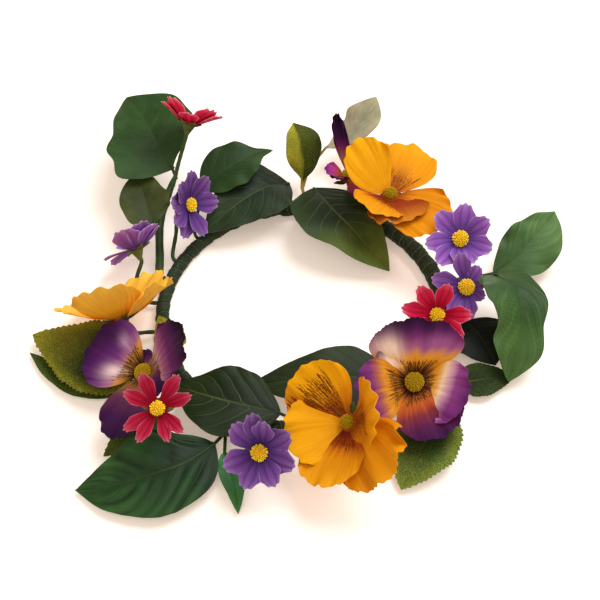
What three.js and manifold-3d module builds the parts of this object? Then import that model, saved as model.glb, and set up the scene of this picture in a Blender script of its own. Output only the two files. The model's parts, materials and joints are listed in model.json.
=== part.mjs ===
// Flower crown: a wire hoop bound with floral tape, carrying artificial flowers and leaves on
// wired stems. Millimetres, +Z up. The crown lies flat on Z = 0 with its back towards +Y.
import * as THREE from 'three';
import { mergeVertices } from 'three/addons/utils/BufferGeometryUtils.js';
import Module from 'manifold-3d';

const wasm = await Module();
wasm.setup();

// --- Driving dimensions -----------------------------------------------------------------------
const HOOP_RADIUS = 89; // centre line of the hoop wire
const HOOP_HEIGHT = 4.4; // of the wire above the table, which the tape wrap rests on
const HOOP_CENTRE = new THREE.Vector3(1.34, -7.36, 0); // from the middle of the crown's outline
const WIRE_RADIUS = 1.3;
const BORE_RADIUS = 1.75; // of the hollow that the tape leaves round the wire
const THIN_WRAP_HALF_WIDTH = 4.2; // tape on the bare wire
const THICK_WRAP_HALF_WIDTH = 5.6; // tape over the wire and the bound ends of the stems
const HOOP_STEP = 10; // degrees of hoop to one facet
const THICK_WRAP_FROM = -40; // degrees, anticlockwise from +X
const THICK_WRAP_TO = 100;
const END_GAP = 0.2; // degrees of hoop between the two wraps
const FIT_GAP = 0.5; // between a stem's end and the tape that holds it
const DOCK_LENGTH = 4; // straight end of each stem, square to the tape

const LEAF_THICKNESS = 0.9;
const PETAL_THICKNESS = 0.8;
const STEM_RADIUS = 1.3;
const PETIOLE_RADIUS = 1.1;

const HUB_RADIUS = 4.2; // ring of fabric that a flower's petals grow from
const HUB_HALF_HEIGHT = 0.8;
const PEG_RADIUS = 1.05; // of the centre's peg, pushed through the hub into the calyx
const PEG_HOLE_RADIUS = 1.45;
const PEG_DEPTH = 3.4;
const PETAL_ROOT = 2.4; // distance from the flower's axis to the start of each petal

// length and width: of a petal; peak and bluntness: shape of its outline; columns: places across
// it, from -1 at one edge to 1 at the other; dome and domeHeight: radius and height of the centre
const KINDS = {
  pansy: { length: 43, width: 40, peak: 1.45, bluntness: 0.6, columns: [-1, 0, 1], dome: 6.6, domeHeight: 6 },
  daisy: { length: 22, width: 12, peak: 1.9, bluntness: 0.5, columns: [-1, 1], dome: 5.3, domeHeight: 4 },
};

// Colours, roughness and metalness of each material
const MATERIALS = {
  wire: [0x4a5a45, 0.5, 0.4],
  tape: [0x27402b, 0.7, 0],
  stem: [0x2f4d2e, 0.55, 0],
  darkLeaf: [0x2c4a2c, 0.6, 0],
  oliveLeaf: [0x5c6b2a, 0.65, 0],
  yellowPetal: [0xf2a60c, 0.7, 0],
  purplePetal: [0x5f2167, 0.7, 0],
  violetPetal: [0x7448a4, 0.7, 0],
  pinkPetal: [0xd01f4e, 0.7, 0],
  domeYellow: [0xe8ab1a, 0.7, 0],
  domeOlive: [0x8a8420, 0.8, 0],
};

// Flowers. at: top of the stem; facing: direction of the flower's axis; dock: where the stem meets
// the hoop, in degrees round the hoop and degrees up from its outer side; via: points on the stem;
// petals: [direction, lift] of each, in degrees round the axis and up from the hub, then its
// length and width where they aren't the kind's.
const FLOWERS = [
  { name: 'yellow_pansy_left', kind: 'pansy', petal: 'yellowPetal', dome: 'domeOlive',
    at: [-111, -21, 24], facing: [-0.26, 0.72, 0.64], dock: [-169, 15], via: [],
    petals: [[346, 32, 40], [60, 40, 46], [116, 34], [164, 28], [262, 36]] },
  { name: 'purple_pansy_left', kind: 'pansy', petal: 'purplePetal', dome: 'domeOlive',
    at: [-93, -66, 29], facing: [-0.44, -0.23, 0.87], dock: [-148, 60], via: [],
    petals: [[38, 44], [100, 12, 20, 20], [146, 12], [246, 12, 43, 34], [315, 0, 18]] },
  { name: 'yellow_pansy_front', kind: 'pansy', petal: 'yellowPetal', dome: 'domeOlive',
    at: [25, -102, 32], facing: [-0.54, -0.36, 0.76], dock: [-74, 30], via: [],
    petals: [[14, 58], [128, 38, 41], [198, 42, 38], [258, 34], [314, 13, 47, 46]] },
  { name: 'purple_pansy_right', kind: 'pansy', petal: 'purplePetal', dome: 'domeOlive',
    at: [64, -70, 26], facing: [0.08, -0.55, 0.83], dock: [-46, 90], via: [],
    petals: [[340, 44, 36], [90, 36, 40, 54], [120, 24, 32], [196, 26, 40, 34], [292, 30, 38]] },
  { name: 'yellow_pansy_back', kind: 'pansy', petal: 'yellowPetal', dome: 'domeOlive',
    at: [56, 69, 38], facing: [0, -0.15, 0.99], dock: [52, 90], via: [],
    petals: [[312, 4], [66, 2], [126, 34], [230, 36, 34], [276, 20]] },
  { name: 'purple_pansy_back', kind: 'pansy', petal: 'purplePetal', dome: 'domeOlive',
    at: [30, 103, 20], facing: [-0.3, 0.1, 0.94], dock: [71, 20], via: [],
    petals: [[308, 8, 30, 24], [88, 56, 46, 12], [10, 0, 30], [170, 30, 20, 14], [235, 10, 14, 14]] },
  { name: 'pink_daisy_tall', kind: 'daisy', petal: 'pinkPetal', dome: 'domeYellow',
    at: [-75, 115, 58], facing: [0.24, 0.74, 0.63], end: [-83.6, 92.5, 36.4], via: [],
    petals: [[5, 42], [50, 44], [95, 42], [140, 44], [185, 42], [230, 40], [275, 42], [320, 40]] },
  { name: 'violet_daisy_sprig', kind: 'daisy', petal: 'violetPetal', dome: 'domeYellow',
    at: [-74, 64, 34], facing: [0.83, -0.35, 0.43], dock: [155, 60], via: [[-83, 55, 18]],
    petals: [[9, 30], [60, 26], [102, 22], [150, 24], [180, 16], [216, 12], [255, 2], [291, 24]] },
  { name: 'violet_daisy_low', kind: 'daisy', petal: 'violetPetal', dome: 'domeYellow',
    at: [-107, 36, 24], facing: [-0.34, 0.7, 0.62], dock: [176, 0], via: [[-107, 22, 9], [-105, 10, 5]],
    petals: [[330, 38], [15, 32], [60, 30], [110, 26], [165, 24], [150, 2], [265, 34], [305, 50]] },
  { name: 'pink_daisy_left', kind: 'daisy', petal: 'pinkPetal', dome: 'domeYellow',
    at: [-82, -99, 42], facing: [0.05, -0.6, 0.8], dock: [-137, 0], via: [[-79, -82, 16]],
    petals: [[21, 34], [57, 18], [114, 24], [153, 32], [213, 18], [240, 26], [290, 40], [318, 38]] },
  { name: 'violet_daisy_front', kind: 'daisy', petal: 'violetPetal', dome: 'domeYellow',
    at: [-25, -118, 26], facing: [-0.1, -0.65, 0.75], dock: [-106, 20], via: [],
    petals: [[33, 26], [72, 46], [94, 30], [132, 22], [200, 34], [249, 30], [300, 36], [342, 24]] },
  { name: 'violet_daisy_upper', kind: 'daisy', petal: 'violetPetal', dome: 'domeYellow',
    at: [98, 31, 38], facing: [-0.05, -0.6, 0.8], dock: [23, 40], via: [],
    petals: [[33, 32], [81, 20], [132, 16], [189, 14], [228, 22], [262, 30, 17], [296, 30, 19], [338, 32]] },
  { name: 'violet_daisy_lower', kind: 'daisy', petal: 'violetPetal', dome: 'domeYellow',
    at: [101, 4, 24], facing: [-0.1, -0.75, 0.65], dock: [3, 40], via: [],
    petals: [[8, -6, 14], [60, 10, 17], [102, 16], [165, 14], [204, 22], [240, 34], [275, 40],
      [325, -10, 14]] },
  { name: 'pink_daisy_right', kind: 'daisy', petal: 'pinkPetal', dome: 'domeYellow',
    at: [81, -20, 26], facing: [-0.05, -0.71, 0.71], dock: [-9, 90], via: [],
    petals: [[3, 34], [72, 30], [123, 26], [168, 14], [215, 30], [250, 34], [285, 34], [318, 36]] },
];

// Leaves that share a stem are one moulding. spine: points on the midrib from base to tip;
// width: across the blade; roll: how far its left side is raised, looking from base to tip;
// fold: how far both sides rise from the midrib; stalk: points from the shared stem to the base.
const SPRAYS = [
  { name: 'tall_sprig', dock: [166, 50], stemRadius: 2.1, material: 'darkLeaf',
    stem: [[-93, 38, 12], [-94, 61, 18], [-90, 79, 25], [-84, 93, 33]],
    leaves: [
      { spine: [[-87, 98, 32], [-96, 111, 37], [-107, 134, 40], [-122, 162, 38]], width: 60,
        roll: -4, fold: 6, stalk: [[-84, 90, 31.5]] },
      { spine: [[-97, 60, 21], [-102, 68, 25], [-107, 84, 28], [-110, 100, 27]], width: 36,
        roll: 0, fold: 8, stalk: [[-93, 58, 17.6]] },
    ] },
  { name: 'sprig_side_leaf', dock: [140, 60], material: 'darkLeaf', stem: [[-70, 74, 16]],
    leaves: [
      { spine: [[-67, 87, 24], [-54, 96, 32], [-38, 107, 36], [-23, 118, 34]], width: 32,
        roll: 10, fold: 8, stalk: [] },
    ] },
  { name: 'back_left_leaf', dock: [98, 10], material: 'darkLeaf', stem: [],
    leaves: [
      { spine: [[-10, 104, 12], [-26, 91, 22], [-44, 76, 22], [-66, 58, 13]], width: 44,
        roll: -8, fold: 8, stalk: [] },
    ] },
  { name: 'back_spray', dock: [90, 20], material: 'oliveLeaf', stem: [[-1, 104, 9]],
    leaves: [
      { spine: [[-3, 109, 14], [-2, 112, 24], [-4, 119, 38], [-9, 129, 45]], width: 27,
        roll: 20, fold: 10, stalk: [[-1, 103, 8]] },
      { spine: [[15, 135, 15], [26, 138, 22], [39, 144, 33], [50, 157, 43]], width: 33,
        roll: -14, fold: 6, stalk: [[-1, 103, 8], [4, 118, 12]] },
    ] },
  { name: 'inner_back_leaf', dock: [82, 60], material: 'darkLeaf', stem: [],
    leaves: [
      { spine: [[7, 98, 14], [18, 75, 20], [33, 54, 20], [54, 32, 9]], width: 56,
        roll: -8, fold: 4, stalk: [] },
    ] },
  { name: 'right_outer_leaf', dock: [15, 0], material: 'darkLeaf', stem: [[104, 26, 5]],
    leaves: [
      { spine: [[122, 28, 8], [138, 38, 14], [153, 53, 19], [165, 71, 20]], width: 38,
        roll: 16, fold: 12, stalk: [] },
    ] },
  { name: 'right_bent_leaf', dock: [9, 0], material: 'darkLeaf', stem: [[104, 17, 6]],
    leaves: [
      { spine: [[119, 13, 24], [127, -2, 34], [132, -17, 33], [132, -36, 21], [127, -58, 8]], width: 36,
        roll: -14, fold: 6, stalk: [] },
    ] },
  { name: 'right_under_leaf', dock: [-4, -10], material: 'darkLeaf', stem: [],
    leaves: [
      { spine: [[102, -9, 6], [110, -25, 8], [117, -42, 4]], width: 38,
        roll: 0, fold: 4, stalk: [] },
    ] },
  { name: 'right_front_leaves', dock: [-33, 0], material: 'oliveLeaf', stem: [[83, -55, 5]],
    leaves: [
      { spine: [[93, -56, 5], [108, -54, 6], [128, -50, 4]], width: 22,
        roll: 4, fold: 6, stalk: [[82, -54.5, 5]] },
      { spine: [[80, -70, 7], [72, -95, 9], [64, -112, 8], [55, -129, 4]], width: 38,
        roll: 4, fold: 6, stalk: [[82, -54.5, 5]] },
    ] },
  { name: 'inner_front_leaf', dock: [-40, 130], material: 'darkLeaf', stem: [],
    leaves: [
      { spine: [[52, -56, 12], [30, -59, 15], [4, -61, 16], [-33, -59, 7]], width: 40,
        roll: -10, fold: 6, stalk: [] },
    ] },
  { name: 'front_veined_leaf', dock: [-94, 90], material: 'darkLeaf', stem: [],
    leaves: [
      { spine: [[-14, -84, 14], [-38, -80, 18], [-58, -73, 17], [-76, -63, 12]], width: 43,
        roll: -10, fold: 5, stalk: [] },
    ] },
  { name: 'front_left_leaves', dock: [-117, 0], material: 'darkLeaf', stem: [[-47, -94, 5]],
    leaves: [
      { spine: [[-52, -101, 8], [-68, -116, 12], [-90, -125, 12], [-110, -129, 8], [-130, -129, 3]],
        width: 50, roll: -12, fold: 5, stalk: [[-46, -91, 5]] },
      { spine: [[-46, -105, 5], [-43, -117, 7], [-39, -130, 6], [-37, -144, 3]], width: 14,
        roll: 0, fold: 10, stalk: [[-46, -91, 5]] },
    ] },
  { name: 'left_leaves', dock: [-156, 10], material: 'oliveLeaf', stem: [[-93, -43, 7]],
    leaves: [
      { spine: [[-100, -47, 10], [-118, -46, 15], [-140, -36, 13], [-168, -21, 7]], width: 46,
        roll: -10, fold: 4, stalk: [[-91, -42, 7]] },
      { spine: [[-102, -55, 5], [-124, -58, 5], [-148, -49, 4], [-169, -32, 3]], width: 20,
        roll: 0, fold: 4, stalk: [[-91, -42, 7]] },
    ] },
  { name: 'left_small_leaf', dock: [-142, 0], material: 'oliveLeaf', stem: [],
    leaves: [
      { spine: [[-86, -74, 6], [-98, -91, 8], [-116, -107, 4]], width: 22,
        roll: 0, fold: 6, stalk: [] },
    ] },
  { name: 'left_inner_leaf', dock: [-152, 100], material: 'oliveLeaf', stem: [],
    leaves: [
      { spine: [[-78, -39, 15], [-79, -30, 17], [-84, -16, 21]], width: 22,
        roll: 0, fold: 6, stalk: [] },
    ] },
];

// --- Geometry helpers -------------------------------------------------------------------------
const radians = THREE.MathUtils.degToRad;
const UP = new THREE.Vector3(0, 0, 1);

function point(coordinates) {
  return new THREE.Vector3(...coordinates);
}

// A closed triangle mesh as a solid that can be joined to another
function solid(geometry) {
  geometry.deleteAttribute('normal');
  geometry.deleteAttribute('uv');
  const merged = mergeVertices(geometry, 1e-4);
  return new wasm.Manifold(new wasm.Mesh({
    numProp: 3,
    vertProperties: new Float32Array(merged.attributes.position.array),
    triVerts: new Uint32Array(merged.index.array),
  }));
}

function joined(geometries) {
  const mesh = geometries.map(solid).reduce((sum, next) => sum.add(next)).getMesh();
  const geometry = new THREE.BufferGeometry();
  geometry.setAttribute('position', new THREE.BufferAttribute(mesh.vertProperties, 3));
  geometry.setIndex(new THREE.BufferAttribute(mesh.triVerts, 1));
  geometry.computeVertexNormals();
  return geometry;
}

function geometryFrom(points, triangles) {
  const geometry = new THREE.BufferGeometry();
  const coordinates = points.flatMap((p) => p.toArray());
  geometry.setAttribute('position', new THREE.Float32BufferAttribute(coordinates, 3));
  geometry.setIndex(triangles);
  return geometry;
}

// A thin closed sheet over a grid of points, given row by row
function sheet(grid, thickness) {
  const rows = grid.length;
  const columns = grid[0].length;
  const at = (r, c) => grid[Math.min(Math.max(r, 0), rows - 1)][Math.min(Math.max(c, 0), columns - 1)];
  const top = [];
  const bottom = [];
  for (let r = 0; r < rows; r += 1) {
    for (let c = 0; c < columns; c += 1) {
      const along = at(r + 1, c).clone().sub(at(r - 1, c));
      const across = at(r, c + 1).clone().sub(at(r, c - 1));
      const normal = along.cross(across).normalize().multiplyScalar(thickness / 2);
      top.push(at(r, c).clone().add(normal));
      bottom.push(at(r, c).clone().sub(normal));
    }
  }
  const below = rows * columns;
  const triangles = [];
  const quad = (a, b, c, d) => triangles.push(a, b, c, a, c, d);
  for (let r = 0; r + 1 < rows; r += 1) {
    for (let c = 0; c + 1 < columns; c += 1) {
      const a = r * columns + c;
      quad(a, a + columns, a + columns + 1, a + 1);
      quad(below + a, below + a + 1, below + a + columns + 1, below + a + columns);
    }
  }
  const rim = [];
  for (let c = 0; c + 1 < columns; c += 1) rim.push(c);
  for (let r = 0; r + 1 < rows; r += 1) rim.push(r * columns + columns - 1);
  for (let c = columns - 1; c > 0; c -= 1) rim.push((rows - 1) * columns + c);
  for (let r = rows - 1; r > 0; r -= 1) rim.push(r * columns);
  rim.forEach((a, i) => {
    const b = rim[(i + 1) % rim.length];
    quad(a, b, below + b, below + a);
  });
  return geometryFrom([...top, ...bottom], triangles);
}

// A tube of round section with closed ends
function tube(points, radius, sides = 6) {
  const corners = [];
  for (let i = 0; i < sides; i += 1) {
    const turn = (i / sides) * 2 * Math.PI;
    corners.push(new THREE.Vector2(radius * Math.cos(turn), radius * Math.sin(turn)));
  }
  const path = new THREE.CatmullRomCurve3(points, false, 'catmullrom', 0.5);
  return new THREE.ExtrudeGeometry(new THREE.Shape(corners), {
    steps: Math.max(2, Math.round(path.getLength() / 9)),
    bevelEnabled: false,
    extrudePath: path,
  });
}

// --- The hoop ---------------------------------------------------------------------------------
function hoopPoint(degrees, outwards, up) {
  const turn = radians(degrees);
  return new THREE.Vector3(Math.cos(turn), Math.sin(turn), 0)
    .multiplyScalar(HOOP_RADIUS + outwards)
    .setZ(HOOP_HEIGHT + up);
}

function isThick(degrees) {
  return degrees > THICK_WRAP_FROM && degrees < THICK_WRAP_TO;
}

// Tape wrap: an eight-sided tube, flat underneath, with a round bore for the wire
function tapeWrap(from, to, halfWidth) {
  const sides = 8;
  const steps = Math.round((to - from) / HOOP_STEP);
  const corner = 1 / Math.cos(Math.PI / sides);
  const outside = [halfWidth * corner, HOOP_HEIGHT * corner];
  const bore = [BORE_RADIUS, BORE_RADIUS];
  const points = [];
  for (let i = 0; i <= steps; i += 1) {
    const degrees = from + ((to - from) * i) / steps;
    for (const [width, height] of [outside, bore]) {
      for (let k = 0; k < sides; k += 1) {
        const turn = ((k + 0.5) / sides) * 2 * Math.PI;
        points.push(hoopPoint(degrees, width * Math.cos(turn), height * Math.sin(turn)));
      }
    }
  }
  const triangles = [];
  const quad = (a, b, c, d) => triangles.push(a, b, c, a, c, d);
  for (let k = 0; k < sides; k += 1) {
    const next = (k + 1) % sides;
    for (let i = 0; i < steps; i += 1) {
      const a = i * 2 * sides;
      const b = a + 2 * sides;
      quad(a + k, b + k, b + next, a + next);
      quad(a + sides + k, a + sides + next, b + sides + next, b + sides + k);
    }
    const last = steps * 2 * sides;
    quad(k, next, sides + next, sides + k);
    quad(last + k, last + sides + k, last + sides + next, last + next);
  }
  return geometryFrom(points, triangles);
}

function hoopWire() {
  const wire = new THREE.TorusGeometry(HOOP_RADIUS, WIRE_RADIUS, 6, 360 / HOOP_STEP);
  wire.translate(0, 0, HOOP_HEIGHT);
  return wire;
}

// The straight end of a stem, square to the tape: its outer and inner points
function dockPoints([degrees, up]) {
  const reach = isThick(degrees) ? THICK_WRAP_HALF_WIDTH : THIN_WRAP_HALF_WIDTH;
  const rise = radians(up);
  const surface = 1 / Math.hypot(Math.cos(rise) / reach, Math.sin(rise) / HOOP_HEIGHT);
  return [DOCK_LENGTH + FIT_GAP, FIT_GAP].map((gap) => {
    const distance = surface * 1.04 + gap;
    return hoopPoint(degrees, distance * Math.cos(rise), distance * Math.sin(rise));
  });
}

// --- Leaves -----------------------------------------------------------------------------------
// Half width of a blade at s = 0 (base) to 1 (tip), as a fraction of its greatest
function bladeProfile(s) {
  return Math.max(0.06, Math.sin(Math.PI * s ** 0.8) ** 0.85);
}

function blade({ spine, width, roll, fold }) {
  const midrib = new THREE.CatmullRomCurve3(spine.map(point), false, 'catmullrom', 0.5);
  const rise = radians(fold);
  const grid = [0, 0.12, 0.3, 0.5, 0.7, 0.86, 1].map((s) => {
    const tangent = midrib.getTangent(s);
    const side = UP.clone().cross(tangent).normalize().applyAxisAngle(tangent, radians(roll));
    const normal = tangent.clone().cross(side);
    const half = (width / 2) * bladeProfile(s);
    return [-1, 0, 1].map((v) => midrib.getPoint(s)
      .addScaledVector(side, v * half * Math.cos(rise))
      .addScaledVector(normal, Math.abs(v) * half * Math.sin(rise)));
  });
  return sheet(grid, LEAF_THICKNESS);
}

function spray({ dock, stem, leaves, stemRadius = PETIOLE_RADIUS }) {
  const [outer, inner] = dockPoints(dock);
  const pieces = [];
  if (stem.length) pieces.push(tube([inner, outer, ...stem.map(point)], stemRadius));
  for (const leaf of leaves) {
    const base = leaf.spine.map(point);
    const along = base[1].clone().sub(base[0]).normalize();
    const start = stem.length ? leaf.stalk.map(point) : [inner, outer];
    if (!start.length) start.push(point(stem.at(-1)));
    const inBlade = base[0].clone().addScaledVector(along, 5);
    pieces.push(tube([...start, base[0], inBlade], PETIOLE_RADIUS));
    pieces.push(blade(leaf));
  }
  return joined(pieces);
}

// --- Flowers ----------------------------------------------------------------------------------
// Angle of a petal above the hub at s = 0 (root) to 1 (tip), as a fraction of its lift
function liftRamp(s) {
  const x = Math.min(s / 0.3, 1);
  return x * x * (3 - 2 * x);
}

function petal(kind, [direction, lift, length = kind.length, width = kind.width]) {
  const outwards = new THREE.Vector3(Math.cos(radians(direction)), Math.sin(radians(direction)), 0);
  const side = UP.clone().cross(outwards);
  const grid = [];
  let radius = PETAL_ROOT;
  let height = 0;
  let travelled = 0;
  for (const station of [0, 0.24, 0.62, 1]) {
    while (travelled < station - 1e-9) {
      const step = Math.min(0.02, station - travelled);
      const rise = radians(lift) * liftRamp(travelled + step / 2);
      radius += Math.cos(rise) * step * (length - PETAL_ROOT);
      height += Math.sin(rise) * step * (length - PETAL_ROOT);
      travelled += step;
    }
    const broad = Math.sin(Math.PI * station ** kind.peak) ** kind.bluntness || 0;
    const half = (width / 2) * Math.max(broad, station < 0.5 ? 0.16 : 0.45);
    grid.push(kind.columns.map((v) => outwards.clone()
      .multiplyScalar(radius)
      .addScaledVector(side, -v * half)
      .setZ(height)));
  }
  return sheet(grid, PETAL_THICKNESS);
}

function lathe(profile) {
  return new THREE.LatheGeometry(profile.map(([x, y]) => new THREE.Vector2(x, y)), 8)
    .rotateX(Math.PI / 2);
}

// The fabric petals with the ring that joins them
function petals(flower, kind) {
  const hub = lathe([
    [PEG_HOLE_RADIUS, -HUB_HALF_HEIGHT],
    [HUB_RADIUS, -HUB_HALF_HEIGHT],
    [HUB_RADIUS, HUB_HALF_HEIGHT],
    [PEG_HOLE_RADIUS, HUB_HALF_HEIGHT],
    [PEG_HOLE_RADIUS, -HUB_HALF_HEIGHT],
  ]);
  return joined([hub, ...flower.petals.map((each) => petal(kind, each))]);
}

// The moulded centre: a dome on a peg
function centre({ dome, domeHeight }) {
  const base = 1.5;
  return lathe([
    [0, -PEG_DEPTH],
    [PEG_RADIUS, -PEG_DEPTH],
    [PEG_RADIUS, base],
    [dome * 0.8, base],
    [dome, base + domeHeight * 0.4],
    [dome * 0.7, base + domeHeight * 0.8],
    [0, base + domeHeight],
  ]);
}

// The calyx with its socket for the peg, and the stem down to the hoop
function stem(flower, toFlower) {
  const top = -HUB_HALF_HEIGHT - 0.3;
  const cup = lathe([
    [0, top - 6],
    [STEM_RADIUS, top - 6],
    [HUB_RADIUS * 0.65, top - 3],
    [HUB_RADIUS, top],
    [PEG_HOLE_RADIUS, top],
    [PEG_HOLE_RADIUS, -PEG_DEPTH - 0.4],
    [0, -PEG_DEPTH - 0.4],
  ]);
  const [outer, inner] = flower.dock ? dockPoints(flower.dock) : [null, point(flower.end)];
  const route = [...flower.via.map(point), outer, inner].filter(Boolean);
  const path = [
    new THREE.Vector3(0, 0, top - 5),
    new THREE.Vector3(0, 0, top - 9),
    ...route.map((p) => p.applyMatrix4(toFlower)),
  ];
  return joined([cup, tube(path, STEM_RADIUS)]);
}

// --- Assembly ---------------------------------------------------------------------------------
const crown = new THREE.Group();
const hoopGroup = new THREE.Group();
hoopGroup.position.copy(HOOP_CENTRE);
crown.add(hoopGroup);

function addMesh(parent, name, geometry, material) {
  const [color, roughness, metalness] = MATERIALS[material];
  const mesh = new THREE.Mesh(geometry, new THREE.MeshStandardMaterial({ color, roughness, metalness }));
  mesh.name = name;
  parent.add(mesh);
}

addMesh(hoopGroup, 'hoop_wire', hoopWire(), 'wire');
addMesh(hoopGroup, 'tape_wrap_thick',
  tapeWrap(THICK_WRAP_FROM, THICK_WRAP_TO, THICK_WRAP_HALF_WIDTH), 'tape');
addMesh(hoopGroup, 'tape_wrap_thin',
  tapeWrap(THICK_WRAP_TO + END_GAP, THICK_WRAP_FROM + 360 - END_GAP, THIN_WRAP_HALF_WIDTH), 'tape');

for (const each of SPRAYS) {
  addMesh(hoopGroup, each.name, spray(each), each.material);
}

for (const flower of FLOWERS) {
  const axis = point(flower.facing).normalize();
  const right = new THREE.Vector3(1, 0, 0).addScaledVector(axis, -axis.x).normalize();
  const head = new THREE.Group();
  const frame = new THREE.Matrix4().makeBasis(right, axis.clone().cross(right), axis);
  frame.setPosition(point(flower.at));
  frame.decompose(head.position, head.quaternion, head.scale);
  hoopGroup.add(head);
  const kind = KINDS[flower.kind];
  addMesh(head, `${flower.name}_petals`, petals(flower, kind), flower.petal);
  addMesh(head, `${flower.name}_centre`, centre(kind), flower.dome);
  addMesh(head, `${flower.name}_stem`, stem(flower, frame.clone().invert()), 'stem');
}

export default crown;
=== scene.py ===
"""The looks of a flower crown: a taped wire hoop with fabric pansies, daisies and leaves.

Lengths are in millimetres from the centre of the hoop, on the plane that the crown lies on, until
place() turns them into the frame's metres.
"""
import json
import math

import bpy
import numpy as np
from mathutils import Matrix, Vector

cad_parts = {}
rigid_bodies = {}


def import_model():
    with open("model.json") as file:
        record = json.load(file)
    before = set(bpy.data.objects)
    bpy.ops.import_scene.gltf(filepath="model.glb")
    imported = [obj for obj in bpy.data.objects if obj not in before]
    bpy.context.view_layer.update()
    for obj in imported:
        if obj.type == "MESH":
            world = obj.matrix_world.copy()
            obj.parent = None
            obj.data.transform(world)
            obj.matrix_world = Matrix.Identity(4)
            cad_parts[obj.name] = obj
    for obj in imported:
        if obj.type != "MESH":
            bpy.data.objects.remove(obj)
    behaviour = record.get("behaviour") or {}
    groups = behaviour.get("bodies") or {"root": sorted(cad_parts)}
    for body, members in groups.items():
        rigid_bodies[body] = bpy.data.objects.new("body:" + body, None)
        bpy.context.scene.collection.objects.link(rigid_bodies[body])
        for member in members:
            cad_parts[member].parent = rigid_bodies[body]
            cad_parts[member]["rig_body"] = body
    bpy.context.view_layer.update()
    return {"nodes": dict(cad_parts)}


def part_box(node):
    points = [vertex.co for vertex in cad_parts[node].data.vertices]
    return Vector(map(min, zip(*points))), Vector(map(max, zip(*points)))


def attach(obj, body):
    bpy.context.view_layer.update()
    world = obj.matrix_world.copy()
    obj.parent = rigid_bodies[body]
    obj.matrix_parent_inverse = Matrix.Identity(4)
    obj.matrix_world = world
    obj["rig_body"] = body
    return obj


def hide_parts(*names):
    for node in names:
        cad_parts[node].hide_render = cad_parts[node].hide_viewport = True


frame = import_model()
scene = bpy.context.scene

MM = 0.001
FULL_TURN = 2 * math.pi
low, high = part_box("hoop_wire")
HOOP_CENTRE = np.array([(low.x + high.x) / 2, (low.y + high.y) / 2, 0.0])

HOOP_RADIUS = 89.0
HOOP_HEIGHT = 4.4
THIN_WRAP_HALF_WIDTH = 4.2
THICK_WRAP_HALF_WIDTH = 5.6
THICK_WRAP = (-40.0, 100.0)  # degrees round the hoop
TAPE_PITCH = 7.2  # distance along the hoop from one turn of tape to the next
DOCK_ENDS = (4.5, -2.2)  # where a stem's last straight stretch ends, outside and inside the tape
TABLE_GAP = 0.1
ROD_SIDES = 14
LEAF_THICKNESS = 0.5
MIDRIB_DROP = 0.55  # from the middle of the blade down to the middle of its midrib
LEAF_SHADE = np.array([0.52, 0.64, 0.45])  # reflectance, as a fraction of the colours given
PETIOLE_RADIUS = 1.1
STEM_RADIUS = 1.3
PETAL_ROOT = 2.4
PETAL_SHADE = 0.98
PETAL_THICKNESS = 0.34
PETAL_RISE = {"pansy": 0.55, "daisy": 0.32}  # from one petal to the next, or to every other daisy one
DAISY_PETAL = (22.5, 12.8)  # length and width
DOME_RADIUS = {"pansy": 5.9, "daisy": 5.6}
STAMEN_TURN = 2.399963  # radians from one stamen to the next: the golden angle


# --- Small helpers ---
def place(points):
    return HOOP_CENTRE + np.asarray(points, float) * MM


def rgb(text):
    """Linear colour from a #rrggbb display colour."""
    value = np.array([int(text[i:i + 2], 16) / 255 for i in (1, 3, 5)])
    return np.where(value <= 0.04045, value / 12.92, ((value + 0.055) / 1.055) ** 2.4)


def unit(vectors):
    vectors = np.asarray(vectors, float)
    return vectors / (np.linalg.norm(vectors, axis=-1, keepdims=True) + 1e-12)


def smooth(low_edge, high_edge, value):
    x = np.clip((value - low_edge) / (high_edge - low_edge), 0, 1)
    return x * x * (3 - 2 * x)


def stacked(*values):
    """Arrays brought to one shape and set side by side on a new last axis."""
    return np.stack(np.broadcast_arrays(*values), -1)


def blended(colour, other, share):
    """Colours that are part way to other ones. share has no colour axis."""
    share = np.asarray(share)[..., None]
    return colour * (1 - share) + other * share


def circle(sides):
    return np.linspace(0, FULL_TURN, sides, endpoint=False)


def polar(radius, turn, height):
    """Points from their distance off the axis, their turn round it in radians, and their height."""
    return stacked(radius * np.cos(turn), radius * np.sin(turn), height)


def above_table(points, gap=TABLE_GAP):
    points[..., 2] = np.maximum(points[..., 2], gap)
    return points


def catmull(points, count):
    """That many points, evenly spread along a Catmull-Rom curve."""
    points = np.asarray(points, float)
    last = len(points) - 1
    x = np.linspace(0, 1, count) * last
    i = np.minimum(x.astype(int), last - 1)
    w = (x - i)[:, None]
    padded = np.vstack([2 * points[0] - points[1], points, 2 * points[-1] - points[-2]])
    a, b, c, d = (padded[i + k] for k in range(4))
    return b + 0.5 * w * (c - a + w * (2 * a - 5 * b + 4 * c - d + w * (3 * (b - c) + d - a)))


def ripple(x, rng, low_count=1.0, high_count=4.0):
    """A smooth random wave over x, about -1 to 1, with that many humps from x = 0 to x = 1."""
    waves = 4
    total = np.zeros_like(np.asarray(x, float))
    for _ in range(waves):
        total += np.sin(x * rng.uniform(low_count, high_count) * FULL_TURN + rng.uniform(0, 6.28))
    return total / waves * 1.4


def hoop_point(degrees, outwards, up):
    return polar(HOOP_RADIUS + outwards, np.radians(degrees), HOOP_HEIGHT + up)


def dock_points(dock):
    """Outer and inner ends of the straight stretch of a stem that meets the hoop."""
    degrees, up = dock
    thick = THICK_WRAP[0] < degrees < THICK_WRAP[1]
    reach = THICK_WRAP_HALF_WIDTH if thick else THIN_WRAP_HALF_WIDTH
    rise = math.radians(up)
    surface = 1 / math.hypot(math.cos(rise) / reach, math.sin(rise) / HOOP_HEIGHT)
    return [hoop_point(degrees, (surface * 1.04 + gap) * math.cos(rise),
                       (surface * 1.04 + gap) * math.sin(rise)) for gap in DOCK_ENDS]


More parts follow.
